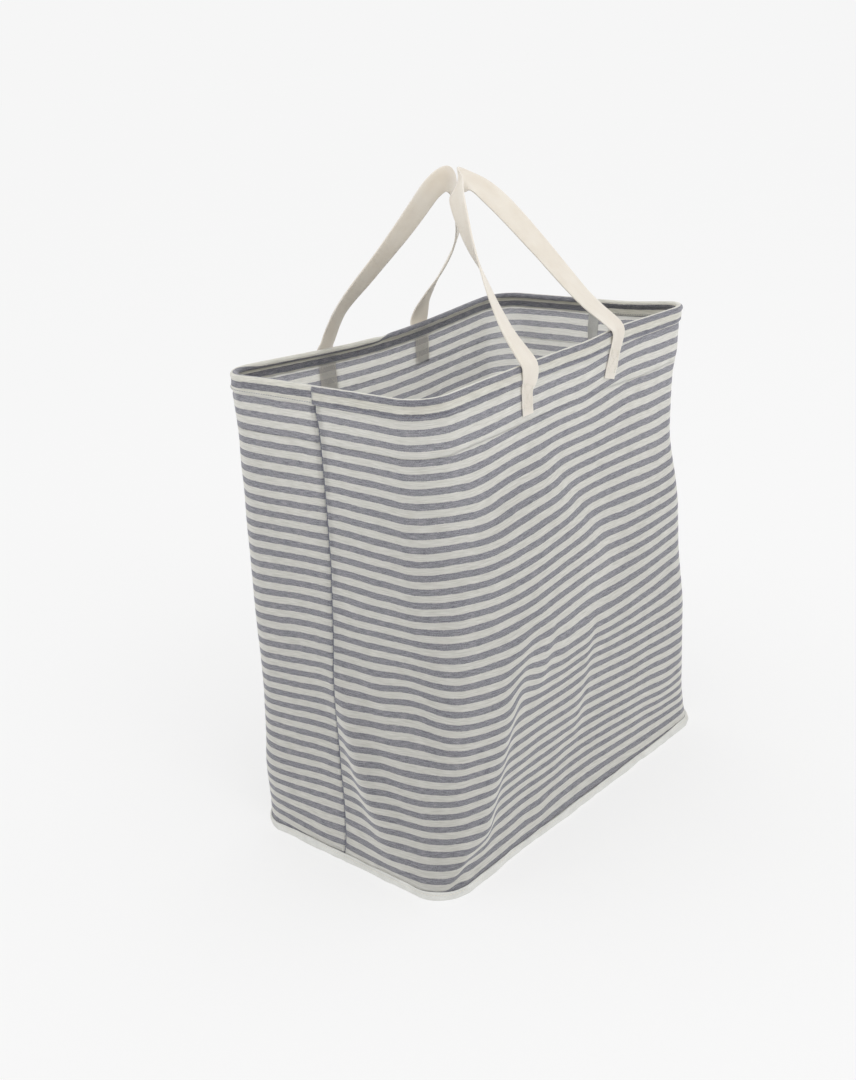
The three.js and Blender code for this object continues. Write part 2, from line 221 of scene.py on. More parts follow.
# Folds: from and to, how sharp, how far they reach to the left and right, how far the
# cloth stands out on either side and how far it has sagged on either side.
frontFolds = {
    "longFold": (190, 40, 226, 162, 7, 42, 45, 6, 0, 8, 0),
    "longFoldTop": (225, 158, 250, 240, 14, 45, 45, 4, 0, 5, -2),
    "shortFold": (334, 92, 366, 205, 8, 45, 20, 3, 0, 2.5, -2),
    "toeFold": (134, 8, 160, 36, 4, 16, 14, 2.5, 0, 1, -5),
    "toeFoldTop": (160, 30, 196, 56, 5, 16, 30, 2, 0, 3, -1.5),
    "notchFold": (274, 178, 292, 232, 5, 22, 18, 1, 0, 1.2, -1.6),
    "softFold": (395, 270, 292, 405, 20, 80, 60, 9, -2, -3.5, -3.5),
}
backFolds = {
    "backFold": (-480, 60, -420, 230, 6, 45, 55, 4, 6, 9, 0),
    "backSoftFold": (-250, 240, -330, 390, 20, 80, 60, 8, -2, 0, 0),
}


def swellAt(s, z, spot):
    atS, atZ, reachS, reachZ, slant = spot[:5]
    ds = (s - atS + halfRound) % (2 * halfRound) - halfRound
    dz = z - atZ
    cos, sin = math.cos(math.radians(slant)), math.sin(math.radians(slant))
    return np.exp(-((ds * cos + dz * sin) / reachS) ** 2 - ((dz * cos - ds * sin) / reachZ) ** 2)


def foldSides(s, z, fold):
    fromS, fromZ, toS, toZ, width, leftReach, rightReach = fold[:7]
    run = np.array([toS - fromS, toZ - fromZ], float)
    length = np.hypot(*run)
    run /= length
    along = ((s - fromS) * run[0] + (z - fromZ) * run[1]) / length
    off = (s - fromS) * run[1] - (z - fromZ) * run[0]      # right of the fold is positive
    ends = eased(along, -0.2, 0.2) * (1 - eased(along, 0.8, 1.2))
    step = 0.5 * (1 + np.tanh(off / width))
    left = (1 - step) * np.exp(-(np.minimum(off, 0) / leftReach) ** 2) * ends
    right = step * np.exp(-(np.maximum(off, 0) / rightReach) ** 2) * ends
    return left, right


# The cloth's own waves: how far out, and how long along the rim and up. Swells die away
# towards the foot and the hem, and the cloth steps in behind the hem's lower edge.
waves = {
    "broad": (1.1, 61, 48),
    "fine": (0.5, 23, 31),
    "sag": (0.5, 37, 29),
    "footHeld": (2, 34),
    "hemHeld": (26, 2),
    "hemStep": (1.1, 6),
}


# How far the cloth stands out at a place, the same for both cloths so that their seams meet.
def standOut(s, z):
    out = np.zeros(np.broadcast(s, z).shape)
    for swell in [*frontSwells.values(), *backSwells.values()]:
        out = out + swell[5] * swellAt(s, z, swell)
    for fold in [*frontFolds.values(), *backFolds.values()]:
        left, right = foldSides(s, z, fold)
        out = out + fold[7] * left + fold[8] * right
    for seed, (height, *cells) in ((1, waves["broad"]), (2, waves["fine"])):
        out = out + height * unevenness(s, z, *cells, seed)
    below = bag["hemBottom"] - z
    held = eased(z, *waves["footHeld"]) * (1 - eased(-below, *(-far for far in waves["hemHeld"])))
    stepIn, stepReach = waves["hemStep"]
    return out * held + formOut(s, z) - stepIn * eased(-below, -stepReach, 0)


def sagOf(s, z, swells, folds):
    sag = np.zeros(np.broadcast(s, z).shape)
    for swell in swells.values():
        sag = sag + swell[6] * swellAt(s, z, swell)
    for fold in folds.values():
        left, right = foldSides(s, z, fold)
        sag = sag + fold[9] * left + fold[10] * right
    height, *cells = waves["sag"]
    return sag + height * unevenness(s, z, *cells, 3)


# The back rim hangs and the front one rises to its right, and each carries its wall's top.
def rimSag(s, z):
    x = outline(s, z)[..., 0]
    middle = np.cos(quarterTurn * np.clip(np.abs(x) * 2 / bag["rimLength"], 0, 1)) ** 2
    lift = np.clip(z / bag["hemBottom"], 0, 1) ** 3
    rise = bag["rightLift"] * eased(s, 360, 445) * (1 - eased(s, 555, 650))
    return np.where(s < 0, bag["backSag"] * middle, -rise) * lift


# A line round the rim, off the wall's outside.
def onRim(s, z, off):
    off = off + formOut(s, z)
    flat = outline(s, rimTop) + outwardAt(s, rimTop) * off[..., None]
    return np.concatenate([flat, (z - rimSag(s, rimTop + 0 * z))[..., None]], -1)


def onCloth(s, z, off=0.0):
    s, z = np.broadcast_arrays(np.asarray(s, float), np.asarray(z, float))
    flat = outline(s, z) + outwardAt(s, z) * (standOut(s, z) + off)[..., None]
    return np.concatenate([flat, (z - rimSag(s, z))[..., None]], -1)


# Makes an object of rows of points. Each loop of a closed section keeps its own cloth place.
def rowsPiece(name, points, places=None, closed=False, capped=False, looped=False):
    rows, columns = points.shape[:2]
    if places is None:
        places = np.zeros((rows + 1, columns + 1, 2))
    faces, corners = [], []
    across = columns if closed else columns - 1
    down = rows if looped else rows - 1
    for i in range(down):
        k = (i + 1) % rows
        for j in range(across):
            n = (j + 1) % columns
            faces.append((i * columns + j, i * columns + n, k * columns + n, k * columns + j))
            corners.append((places[i, j], places[i, j + 1], places[i + 1, j + 1], places[i + 1, j]))
    flat = [corner for face in corners for corner in face]
    if capped:
        for i, order in ((0, -1), (rows - 1, 1)):
            ring = list(range(columns))[::order]
            faces.append(tuple(i * columns + j for j in ring))
            flat += [places[i, j] for j in ring]
    mesh = bpy.data.meshes.new(name)
    mesh.from_pydata((points.reshape(-1, 3) * mm).tolist(), [], faces)
    layer = mesh.uv_layers.new(name="cloth")
    layer.data.foreach_set("uv", (np.array(flat) * mm).ravel())
    mesh.polygons.foreach_set("use_smooth", [True] * len(mesh.polygons))
    mesh.update()
    piece = bpy.data.objects.new(name, mesh)
    bpy.context.scene.collection.objects.link(piece)
    return piece


# Turns a piece with its modifiers into a plain mesh.
def settle(piece):
    bpy.context.view_layer.update()
    seen = piece.evaluated_get(bpy.context.evaluated_depsgraph_get())
    mesh = bpy.data.meshes.new_from_object(seen)
    piece.modifiers.clear()
    piece.data = mesh
    mesh.name = piece.name
    return piece


def facesOutward(piece):
    mesh = piece.data
    mesh.calc_loop_triangles()
    points = np.array([v.co for v in mesh.vertices])
    tri = np.array([t.vertices for t in mesh.loop_triangles])
    a, b, c = points[tri[:, 0]], points[tri[:, 1]], points[tri[:, 2]]
    if np.einsum("ij,ij->i", a, np.cross(b, c)).sum() < 0:
        mesh.flip_normals()
    return piece


def newFinish(name, roughness, sheen=0.0):
    finish = bpy.data.materials.new(name)
    finish.use_nodes = True
    shader = finish.node_tree.nodes["Principled BSDF"]
    shader.inputs["Roughness"].default_value = roughness
    shader.inputs["Sheen Weight"].default_value = sheen
    shader.inputs["Sheen Roughness"].default_value = 0.6
    shader.inputs["Specular IOR Level"].default_value = 0.2
    return finish, shader


def put(finish, kind, settings=None, inputs=None):
    node = finish.node_tree.nodes.new("ShaderNode" + kind)
    for key, value in (settings or {}).items():
        setattr(node, key, value)
    for key, value in (inputs or {}).items():
        if isinstance(value, bpy.types.NodeSocket):
            finish.node_tree.links.new(value, node.inputs[key])
        else:
            node.inputs[key].default_value = value
    return node


def reckon(finish, operation, *values):
    inputs = dict(enumerate(values))
    return put(finish, "Math", {"operation": operation}, inputs).outputs[0]


def mixed(finish, share, first, second, way="MIX"):
    settings = {"data_type": "RGBA", "blend_type": way}
    return put(finish, "Mix", settings, {0: share, 6: first, 7: second}).outputs[2]


def spread(finish, value, low, high, toLow=0.0, toHigh=1.0):
    inputs = {"Value": value, "From Min": low, "From Max": high, "To Min": toLow, "To Max": toHigh}
    return put(finish, "MapRange", {"clamp": True}, inputs).outputs["Result"]


def grain(finish, place, scale, detail=2.0, roughness=0.5):
    stretched = put(finish, "Mapping", {"vector_type": "POINT"}, {"Vector": place, "Scale": scale})
    inputs = {"Vector": stretched.outputs[0], "Scale": 1.0, "Detail": detail, "Roughness": roughness}
    return put(finish, "TexNoise", None, inputs).outputs["Fac"]


def bumped(finish, shader, height, distance, strength=1.0):
    bump = put(finish, "Bump", None, {"Height": height, "Distance": distance, "Strength": strength})
    finish.node_tree.links.new(bump.outputs[0], shader.inputs["Normal"])


stripes = {
    "pitch": 13.7,
    "blueShare": 0.47,
    "frontHeight": 485.3,   # a blue stripe's middle on the front cloth
    "backHeight": 491.6,
    "edgeWander": 0.35,
    "edgeRagged": 0.9,
    "blueLight": (0.37, 0.37, 0.385, 1),
    "blueDark": (0.045, 0.045, 0.075, 1),
    "creamLight": (0.71, 0.695, 0.635, 1),
    "creamDark": (0.51, 0.50, 0.445, 1),
    "shade": (0.9, 0.9, 0.95, 1),
    # Painted light where the webbing sewn on outside shows through the thin cloth: its middle and half its width,
    # and the light beige that is painted there in place of light coming through the tab and cloth.
    "frontPaintedTabLight": ((273, 6), (416, 6)),
    "backPaintedTabLight": ((-408.3, 10.5), (-260.3, 10.5)),
    "paintedTabLightColour": (0.95, 0.88, 0.77, 1),
}


def stripedFinish(name, blueHeight, paintedTabLights):
    finish, shader = newFinish(name, 0.9, 0.15)
    shader.inputs["Subsurface Weight"].default_value = 1.0     # light comes through the thin cloth
    shader.inputs["Subsurface Radius"].default_value = (1, 1, 1)
    shader.inputs["Subsurface Scale"].default_value = 0.008
    place = put(finish, "UVMap", {"uv_map": "cloth"}).outputs[0]
    along, height = put(finish, "SeparateXYZ", None, {0: place}).outputs[:2]
    wander = grain(finish, place, (70, 260, 1), 3)
    ragged = grain(finish, place, (600, 900, 1), 1)
    shifted = reckon(finish, "MULTIPLY_ADD", reckon(finish, "SUBTRACT", wander, 0.5),
                     4 * stripes["edgeWander"] * mm, height)
    shifted = reckon(finish, "MULTIPLY_ADD", reckon(finish, "SUBTRACT", ragged, 0.5),
                     stripes["edgeRagged"] * mm, shifted)
    start = (blueHeight / stripes["pitch"]) % 1 - 0.5
    turn = reckon(finish, "FRACT", reckon(finish, "SUBTRACT", reckon(
        finish, "DIVIDE", shifted, stripes["pitch"] * mm), start))
    off = reckon(finish, "ABSOLUTE", reckon(finish, "SUBTRACT", turn, 0.5))
    half = stripes["blueShare"] / 2
    blue = spread(finish, off, half + 0.02, half - 0.02)
    dashes = spread(finish, grain(finish, place, (110, 1500, 1), 2, 0.6), 0.32, 0.68)
    specks = spread(finish, grain(finish, place, (900, 1300, 1), 1), 0.3, 0.7)
    cloud = grain(finish, place, (18, 40, 1), 2)
    chambray = reckon(finish, "MULTIPLY_ADD", dashes, 0.6, reckon(finish, "MULTIPLY", specks, 0.4))
    blueColour = mixed(finish, chambray, stripes["blueDark"], stripes["blueLight"])
    slubs = spread(finish, grain(finish, place, (60, 1100, 1), 2, 0.6), 0.3, 0.7)
    creamColour = mixed(finish, slubs, stripes["creamDark"], stripes["creamLight"])
    rim = spread(finish, off, half - 0.09, half - 0.02)
    blueColour = mixed(finish, reckon(finish, "MULTIPLY", rim, 0.25), blueColour, stripes["blueDark"])
    colour = mixed(finish, blue, creamColour, blueColour)
    shade = spread(finish, cloud, 0.3, 0.7, 0.0, 0.1)
    colour = mixed(finish, shade, colour, stripes["shade"], "MULTIPLY")
    # Painted light: over each sewn end, between about 456 and 483 mm up, the cloth is mixed towards a light beige.
    # This stands in for light showing through the tab and the thin cloth.
    for middle, half in paintedTabLights:
        aside = reckon(finish, "ABSOLUTE", reckon(finish, "SUBTRACT", along, middle * mm))
        behind = reckon(finish, "MULTIPLY", spread(finish, aside, (half + 1.5) * mm, half * mm),
                        spread(finish, height, 453 * mm, 456 * mm))
        behind = reckon(finish, "MULTIPLY", behind, spread(finish, height, 484 * mm, 483 * mm))
        colour = mixed(finish, reckon(finish, "MULTIPLY", behind, 0.55), colour, stripes["paintedTabLightColour"])
    finish.node_tree.links.new(colour, shader.inputs["Base Color"])
    rough = spread(finish, chambray, 0, 1, 0.82, 0.97)
    finish.node_tree.links.new(rough, shader.inputs["Roughness"])
    weft, warp = grain(finish, place, (240, 2200, 1), 1), grain(finish, place, (2200, 300, 1), 1)
    yarns = reckon(finish, "ADD", weft, warp)
    bumped(finish, shader, reckon(finish, "ADD", yarns, slubs), 0.12 * mm)
    return finish


webbingLook = {
    "light": (0.86, 0.805, 0.72, 1),
    "dark": (0.72, 0.645, 0.55, 1),
    "twillPitch": 1.7,
    "zigzag": 3.1,
}


def webbingFinish():
    finish, shader = newFinish("creamWebbing", 0.88, 0.2)
    shader.inputs["Subsurface Weight"].default_value = 0.5
    shader.inputs["Subsurface Radius"].default_value = (1, 1, 1)
    shader.inputs["Subsurface Scale"].default_value = 0.005
    place = put(finish, "UVMap", {"uv_map": "webbing"}).outputs[0]
    parts = put(finish, "SeparateXYZ", None, {0: place})
    zig = reckon(finish, "PINGPONG", parts.outputs[0], webbingLook["zigzag"] * mm)
    slant = reckon(finish, "ADD", zig, parts.outputs[1])
    slant = reckon(finish, "DIVIDE", slant, webbingLook["twillPitch"] * mm)
    twill = reckon(finish, "PINGPONG", slant, 0.5)
    fuzz = grain(finish, place, (1500, 1500, 1), 2)
    cloud = grain(finish, place, (60, 30, 1), 3)
    tone = reckon(finish, "ADD", reckon(finish, "MULTIPLY", twill, 0.5),
                  reckon(finish, "MULTIPLY", fuzz, 0.4))
    tone = reckon(finish, "MULTIPLY_ADD", cloud, 0.8, tone)
    colour = mixed(finish, spread(finish, tone, 0.35, 1.05), webbingLook["dark"], webbingLook["light"])
    finish.node_tree.links.new(colour, shader.inputs["Base Color"])
    finish.node_tree.links.new(spread(finish, tone, 0.35, 1.05, 0.95, 0.84), shader.inputs["Roughness"])
    bumped(finish, shader, reckon(finish, "MULTIPLY_ADD", fuzz, 0.2, twill), 0.03 * mm, 0.5)
    return finish


# A plain woven finish on Object coordinates, for tape, lining and thread.
def plainFinish(name, light, dark, weave, depth, roughness=0.9, sheen=0.1):
    finish, shader = newFinish(name, roughness, sheen)
    place = put(finish, "TexCoord").outputs["Object"]
    fine = grain(finish, place, (weave, weave, weave), 2)
    cloud = grain(finish, place, (70, 70, 110), 3)
    tone = reckon(finish, "ADD", reckon(finish, "MULTIPLY", fine, 0.5),
                  reckon(finish, "MULTIPLY", cloud, 0.5))
    colour = mixed(finish, spread(finish, tone, 0.3, 0.7), dark, light)
    finish.node_tree.links.new(colour, shader.inputs["Base Color"])
    rough = spread(finish, tone, 0.3, 0.7, roughness + 0.05, roughness - 0.05)
    finish.node_tree.links.new(rough, shader.inputs["Roughness"])
    bumped(finish, shader, fine, depth * mm)
    return finish


def steelFinish():
    finish, shader = newFinish("springSteel", 0.35)
    shader.inputs["Metallic"].default_value = 1.0
    place = put(finish, "TexCoord").outputs["Object"]
    drawn = grain(finish, place, (900, 900, 900), 3)
    colour = mixed(finish, drawn, (0.42, 0.43, 0.44, 1), (0.60, 0.61, 0.62, 1))
    finish.node_tree.links.new(colour, shader.inputs["Base Color"])
    finish.node_tree.links.new(spread(finish, drawn, 0.3, 0.7, 0.28, 0.45), shader.inputs["Roughness"])
    bumped(finish, shader, drawn, 0.02 * mm)
    return finish


frontCloth = stripedFinish("frontStripedCloth", stripes["frontHeight"], stripes["frontPaintedTabLight"])
backCloth = stripedFinish("backStripedCloth", stripes["backHeight"], stripes["backPaintedTabLight"])
creamWebbing = webbingFinish()
bindingTape = plainFinish("bindingTape", (0.76, 0.76, 0.73, 1), (0.60, 0.60, 0.57, 1), 900, 0.15)
creamLining = plainFinish("creamLining", (0.80, 0.77, 0.69, 1), (0.70, 0.67, 0.58, 1), 1100, 0.1)
creamThread = plainFinish("creamThread", (0.86, 0.83, 0.75, 1), (0.72, 0.68, 0.60, 1), 3000, 0.05, 0.7)
greyThread = plainFinish("greyThread", (0.27, 0.28, 0.34, 1), (0.18, 0.19, 0.24, 1), 3000, 0.05, 0.7)
springSteel = steelFinish()
print("finishes made")


def wear(piece, finish, slotName, *nodes):
    piece.data.materials.clear()
    piece.data.materials.append(finish)
    if nodes:
        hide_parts(*nodes)
    return piece


# The walls are cut at this height: the cloth above it is attached to the rim, and the cloth below it to the root.
collapse = {"foldTop": 446, "drop": 420}
lowerPart = (bag["wallBottom"], collapse["foldTop"])
upperPart = (collapse["foldTop"], bag["hemBottom"])


def squashWithRim(piece):
    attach(piece, "root")
    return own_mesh(piece)


seamTuck = {"depth": 1.3, "width": 2.6}


def wallPiece(name, fromS, toS, heights, swells, folds):
    steps = int(round((toS - fromS) / bag["clothStep"]))
    tuckIn = seamTuck["width"] * np.array([0, 0.35, 0.7])
    along = np.linspace(fromS + seamTuck["width"], toS - seamTuck["width"], steps)
    along = np.concatenate([fromS + tuckIn, along, (toS - tuckIn)[::-1]])
    low, high = heights
    s, z = np.meshgrid(along, np.linspace(low, high, int((high - low) / bag["clothStep"]) + 1))
    # The parts meet at one height all round, where the rim sags or rises too.
    z = z + rimSag(s, collapse["foldTop"]) * np.interp(z, (lowerPart[0], *upperPart), (0, 1, 0))
    inside = np.minimum(s - fromS, toS - s)
    tuck = -seamTuck["depth"] * (1 - eased(inside, 0, seamTuck["width"]))
    keptIn = np.clip(s, fromS + 0.01, toS - 0.01)     # each cloth stays on its own side
    places = np.stack([s, z + sagOf(s, z, swells, folds)], -1)
    piece = rowsPiece(name, onCloth(keptIn, z, tuck), places)
    solidify = piece.modifiers.new("thickness", "SOLIDIFY")
    solidify.thickness = bag["clothThickness"] * mm
    solidify.offset = -1
    solidify.use_even_offset = True
    settle(piece).data.set_sharp_from_angle(angle=sharpFrom)
    return piece


for name, fromS, toS, cloth, node, swells, folds in (
        ("frontWall", 0, halfRound, frontCloth, "front_panel", frontSwells, frontFolds),
        ("backWall", -halfRound, 0, backCloth, "back_panel", backSwells, backFolds)):
    lower = wallPiece(name, fromS, toS, lowerPart, swells, folds)
    squashWithRim(wear(lower, cloth, "striped_cloth", node))
    upper = wallPiece(name + "Top", fromS, toS, (upperPart[0], upperPart[1] + 0.4), swells, folds)
    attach(wear(upper, cloth, "striped_cloth"), "rim")
print("walls made")


hem = {
    "rollRadius": 3.7,
    "rollOff": -3.55,      # the roll's middle behind the wall's outside
    "rollZ": 496.3,
    "innerPly": -2.6,
    "rollSteps": 22,
    "pucker": 0.35,        # the roll is pinched where the two turns of the back hem meet
    "puckerSpot": (-342, 496),
    "seamGap": 0.15,
    "lowWave": (0.45, 11, 9),      # of the part below the roll
    "wave": (0.25, 31, 40),
}


# The hem's section: off the wall's outside, height, and place on the cloth.
def hemSection():
    radius = hem["rollRadius"]
    section = [(-0.8, 482.7, 482.4), (0.4, 482.9, 483.2), (0.9, 483.9, 484.2), (0.8, 485.8, 486),
               (0.35, 488.5, 488.5), (-0.1, 490.6, 490.6), (-0.35, 492.4, 492.4)]
    first, last = math.radians(-30), math.radians(212)
    for i in range(hem["rollSteps"] + 1):
        angle = first + (last - first) * i / hem["rollSteps"]
        section.append((hem["rollOff"] + radius * math.cos(angle),
                        hem["rollZ"] + radius * math.sin(angle), hem["rollZ"] + radius * angle))
    end = section[-1][2]
    section += [(-4.4, 492.6, end + 3), (-3.0, 491.2, end + 5), (hem["innerPly"], 489.5, end + 7),
                (hem["innerPly"], 486, end + 10.5), (hem["innerPly"], 483.6, end + 13),
                (-2.2, 482.7, end + 14), (-1.5, 482.5, end + 14.6)]
    return np.array(section)


def hemPiece(name, fromS, toS, turn):
    section = hemSection()
    ends = fromS + hem["seamGap"], toS - hem["seamGap"]
    along = np.linspace(*ends, int((toS - fromS) / bag["clothStep"]) + 1)
    s, off = np.meshgrid(along, section[:, 0], indexing="ij")
    z = np.broadcast_to(section[:, 1], s.shape)
    stand = 1 - eased(z, 488, 494)
    (lowHeight, *lowCells), (height, *cells) = hem["lowWave"], hem["wave"]
    off = off + stand * lowHeight * unevenness(s, z, *lowCells, 5) + height * unevenness(s, z, *cells, 6)
    pinch = hem["pucker"] * swellAt(s, z, (*hem["puckerSpot"], 9, 40, 0)) * (1 - stand)
    off = off + pinch * (hem["rollOff"] - off)
    points = onRim(s, z - pinch * (z - hem["rollZ"]), off)
    closing = np.concatenate([section[:, 2], [section[-1, 2] + 1]])
    places = np.stack(np.broadcast_arrays(along[:, None], closing[None, :]), -1).copy()
    onRoll = (0.45 + 0.55 * eased(closing, 484, 500)) * (1 - eased(closing, 508, 513))
    places[..., 1] += np.interp(along, *turn)[:, None] * onRoll[None, :]
    piece = rowsPiece(name, points, places, closed=True, capped=True)
    return facesOutward(piece)


# How far each hem has turned over its wire, which moves its stripes.
hemTurn = {
    "front": ((0, halfRound), (1.9, 1.9)),
    "back": ((-halfRound, -570, -540, -350, -334, -175, -120, -110, -10, 0),
             (-1.5, -1.5, 0, 0, -6.5, -6.5, 1.5, 1.5, -1, -1)),
}


for side, fromS, toS, cloth in (("front", 0, halfRound, frontCloth), ("back", -halfRound, 0, backCloth)):
    hemRoll = hemPiece(side + "Hem", fromS, toS, hemTurn[side])
    wear(hemRoll, cloth, "striped_cloth", side + "_hem")
    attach(hemRoll, "rim")


# The wire lies in the roll, and its ends meet in a crimped sleeve at the back.
wire = {"radius": 1.6, "ferruleRadius": 2.2, "ferruleHalf": 11, "gap": 0.5, "sides": 12}
joinSpot = -halfRound / 2


def wirePiece(name, radius, fromS, toS, steps):
    angles = np.linspace(0, 2 * halfTurn, wire["sides"], endpoint=False)
    s, angle = np.meshgrid(np.linspace(fromS, toS, steps), angles, indexing="ij")
    wrapped = np.where(s < -halfRound, s + 2 * halfRound, s)
    off = hem["rollOff"] + radius * np.cos(angle)
    points = onRim(wrapped, hem["rollZ"] + radius * np.sin(angle), off)
    return facesOutward(rowsPiece(name, points, closed=True, capped=True))


rimWire = wirePiece("rimWire", wire["radius"], joinSpot + wire["gap"] - 2 * halfRound,
                    joinSpot - wire["gap"], 360)
wear(rimWire, springSteel, "steel", "rim_wire")
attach(rimWire, "rim")
ferrule = wirePiece("wireFerrule", wire["ferruleRadius"], joinSpot - wire["ferruleHalf"],
                    joinSpot + wire["ferruleHalf"], 9)
wear(ferrule, springSteel, "steel", "wire_ferrule")
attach(ferrule, "rim")
print("hem made")


binding = {
    "height": 8.2,
    "thickness": 1.7,
    "wrinkle": 0.8,
    "stitchShare": 0.72,     # how high its stitches run
    "stitchOff": 0.3,
}


def bindingPiece():
    shape = np.array([(0.15, 0.96), (0.35, 1), (0.8, 0.99), (0.95, 0.9), (1, 0.7), (1, 0.5), (1.05, 0.3),
                      (1.1, 0.12), (0.95, 0.02), (0.6, 0), (0.15, 0), (0.15, 0.5)])
    section = shape * (binding["thickness"], binding["height"])
    along = np.linspace(-halfRound, halfRound, 700, endpoint=False)
    s, off = np.meshgrid(along, section[:, 0], indexing="ij")
    z = np.broadcast_to(section[:, 1], s.shape).copy()
    free = eased(off, 0.3, 1.5) * binding["wrinkle"]
    off = off + free * (unevenness(s, z, 9, 7, 8) + 1.3 * unevenness(s, z, 26, 14, 9))
    z = np.maximum(z + eased(z, 1.5, 5) * binding["wrinkle"] * unevenness(s, z * 0, 21, 9, 10), 0)
    flat = outline(s, z) + outwardAt(s, z) * (off + formOut(s, z))[..., None]
    points = np.concatenate([flat, z[..., None]], -1)
    return facesOutward(rowsPiece("baseBinding", points, closed=True, looped=True))


bindingRing = wear(bindingPiece(), bindingTape, "binding", "base_binding")
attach(bindingRing, "root")


base = {"under": 0.15, "top": 2.5, "inside": 0.4, "wave": 0.35}


def basePiece():
    under, top = base["under"], base["top"]
    rings = [(0.9, under), (0.5, under), (0, under), (0, top - 0.2), (0.12, top), (0.4, top), (0.7, top), (0.9, top)]
    along = np.linspace(-halfRound, halfRound, 360, endpoint=False)
    reach = formOut(along, 0.0) - base["inside"]
    rim = outline(along, 0.0) + outwardAt(along, 0.0) * reach[:, None]
    rows = []
    for share, z in rings:      # share of the way from the rim to the middle
        flat = rim + (np.array(bag["baseShift"]) - rim) * share
        rise = base["wave"] * unevenness(*flat.T, 37, 37, 12) * (z == top)
        rows.append(np.column_stack([flat, z + rise]))
    return facesOutward(rowsPiece("basePanel", np.array(rows), closed=True, capped=True))


basePanel = wear(basePiece(), creamLining, "lining_cloth", "base_panel")
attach(basePanel, "root")


# The seam tape's section: across, and how thick it is there, with a ridge over the seam.
tape = {
    "across": (-7, -6.4, -4.5, -2, -0.8, 0, 0.8, 2, 4.5, 6.4, 7),
    "crown": (0.35, 1.0, 1.15, 1.1, 1.35, 1.5, 1.35, 1.1, 1.15, 1.0, 0.35),
    "gap": 0.35,
    "wave": 0.25,
}


def tapePiece(name, middleS, low, high):
    across, crown = np.array(tape["across"]), np.array(tape["crown"])
    heights = np.linspace(low, high, int((high - low) / bag["clothStep"]) + 1)
    s, z = np.meshgrid(np.concatenate([across, across[::-1]]) + middleS, heights)
    behind = bag["clothThickness"] + tape["gap"] + np.concatenate([crown, 0 * crown])
    off = -behind[None, :] + tape["wave"] * unevenness(s, z, 9, 13, 14)
    wrapped = np.where(s < -halfRound, s + 2 * halfRound, s)
    piece = facesOutward(rowsPiece(name, onCloth(wrapped, z, off), closed=True, capped=True))
    piece.data.set_sharp_from_angle(angle=sharpFrom)
    return piece


for name, node, middleS in (("leftSeamTape", "left_seam_tape", 0),
                            ("rightSeamTape", "right_seam_tape", -halfRound)):
    lower = tapePiece(name, middleS, lowerPart[0] + 1, lowerPart[1])
    squashWithRim(wear(lower, bindingTape, "binding", node))
    upper = tapePiece(name + "Top", middleS, upperPart[0], upperPart[1] - 1)
    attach(wear(upper, bindingTape, "binding"), "rim")
print("base, binding and tapes made")


handle = {
    "width": 25,
    "thickness": 1.9,
    "span": 148,
    "shift": 8,
    "reach": 200.5,
    "sway": 16,
    "swayTurn": 0.7,
    "endLength": 46,
    "hingeY": 132.87,
    "hingeZ": 498.8,
    "lean": 37.1,
    "acrossShare": (1, 0.97, 0.92, 0.86, 0.79, 0.71, 0.62, 0.51, 0.37, 0.21, 0),
    "upShare": (0, 0.12, 0.22, 0.33, 0.44, 0.55, 0.65, 0.75, 0.86, 0.95, 1),
    "tabOff": 1.5,         # middle of the webbing off the wall's outside
    "step": 3.0,
    "rounding": 5,
    "cutLength": 640,
    "routePoints": 181,
    "footSettle": 60,      # below this height up its leg the webbing follows the rim's sag
    "footTuck": (1.6, 22),
    "endRows": 14,
    "endGap": 4.0,
    "hemLift": 0.5,
}
# Each leg's own lean along the rim and off it, by how far up the handle it is.
legBend = {
    "up": (0, 7, 24, 41, 57, 73, 90, 106, 123, 139, 155, 171, 187, 203),
    "front": ((0, 2, 2.3, 2.7, 0.7, -0.4, -2.4, -4, -2.8, -1.5, -0.5, 1.5, 4, 4.5),
              (2, 4, 7.7, 9.2, 9, 8.2, 7.2, 5.6, 4.5, 2.9, 1.5, 1, 2, 4.5)),
    "back": ((0, -2, -2.9, 2.8, 6.5, 8, 8.8, 8, 5, 1, -4, -8, -10, -12),
             (0.5, 2, -0.4, -3.2, -3, -2.9, -2.4, -1.7, -1.4, -1.5, -2.8, -5, -9, -12)),
    "frontOut": (0, 0, -0.8, -0.8, -0.8, -0.4, 0, 0, 0, 0, 0, 0, 0, 0),
    "backOut": (0, 0.3, 2.5, 4, 3.5, 2.3, 1.3, 0.4, 0, 0, 0, 0, 0, 0),
}
# How far the webbing is turned about its own line, from one end to the other.
webbingTurn = {
    "front": ((0, 0.03, 0.08, 0.13, 0.18, 0.24, 0.28, 0.33, 0.38, 0.43, 0.465, 0.485,
               0.502, 0.53, 0.56, 0.6, 0.67, 0.75, 0.83, 0.87, 0.91, 0.95, 1),
              (2, 6, 15, 23, 31, 41, 54, 68, 78, 86, 88, 50,
               -6, 2, 15, 20, 18, 12, 7, 3, 0, -5, -4)),
    "back": ((0, 0.03, 0.06, 0.09, 0.13, 0.18, 0.25, 0.3, 0.36, 0.43, 0.5, 0.56,
              0.62, 0.67, 0.71, 0.76, 0.8, 0.84, 0.88, 0.92, 1),
             (-8, -4, 10, 20, 30, 33, 36, 40, 44, 44, 36, 26,
              22, 18, 13, 8, 7, 3, -3, -8, -6)),
}
# The sewn ends: their shift along the rim and their width, by height.
tabShape = {
    "height": (452, 462, 472, 478, 486, 497, 506),
    "front": (((6.5, 6.5, 6.5, 6, 1, 0, 0), (16.5, 16.5, 16.5, 17, 24, 25, 25)),
              ((16, 13, 10, 8, 5, 1.5, 0), (16.5, 16.5, 16.5, 16.5, 16.5, 18, 25))),
    "back": (((0,) * 7, (25,) * 7), ((0,) * 7, (25,) * 7)),
}


